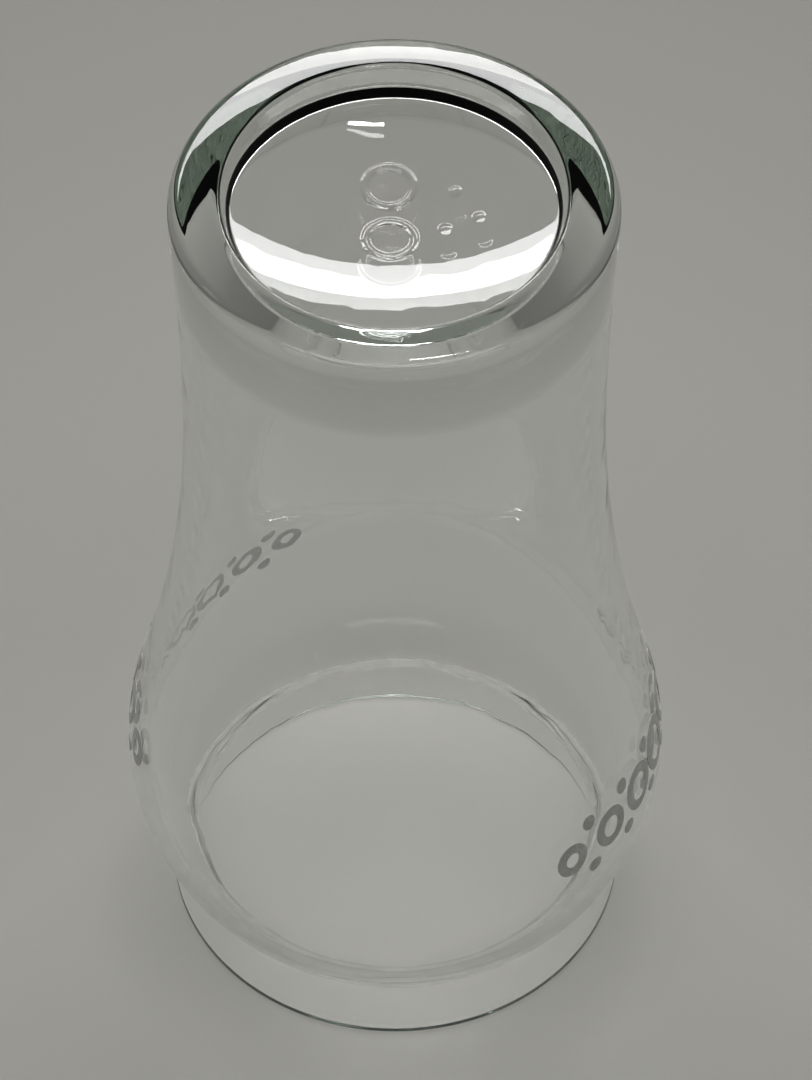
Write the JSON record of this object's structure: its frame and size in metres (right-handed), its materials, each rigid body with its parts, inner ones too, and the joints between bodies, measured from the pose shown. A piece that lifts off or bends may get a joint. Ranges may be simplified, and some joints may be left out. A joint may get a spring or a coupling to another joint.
{
  "type": "soda tumbler",
  "caption": "Bell-shaped clear glass soda tumbler with a hollow foot and a fired enamel bubble print on two sides, standing upside down on its rim.",
  "frame": {"origin": "on the axis of the glass, in the plane of its rim, which it stands on upside down", "axes": "+Z along the axis from the rim up to the foot, -Y towards the picture's viewer, +X to the viewer's right"},
  "size_m": [0.0844, 0.0844, 0.159],
  "materials": {
    "glass": "clear soda-lime glass, fire polished, faint grey-green in the thick foot ring",
    "enamel": "grey fired enamel, satin, slightly worn"
  },
  "bodies": {
    "root": {"glass_body": "glass", "right_print_rings": "enamel", "right_print_dots": "enamel", "left_print_rings": "enamel", "left_print_dots": "enamel"}
  },
  "joints": []
}
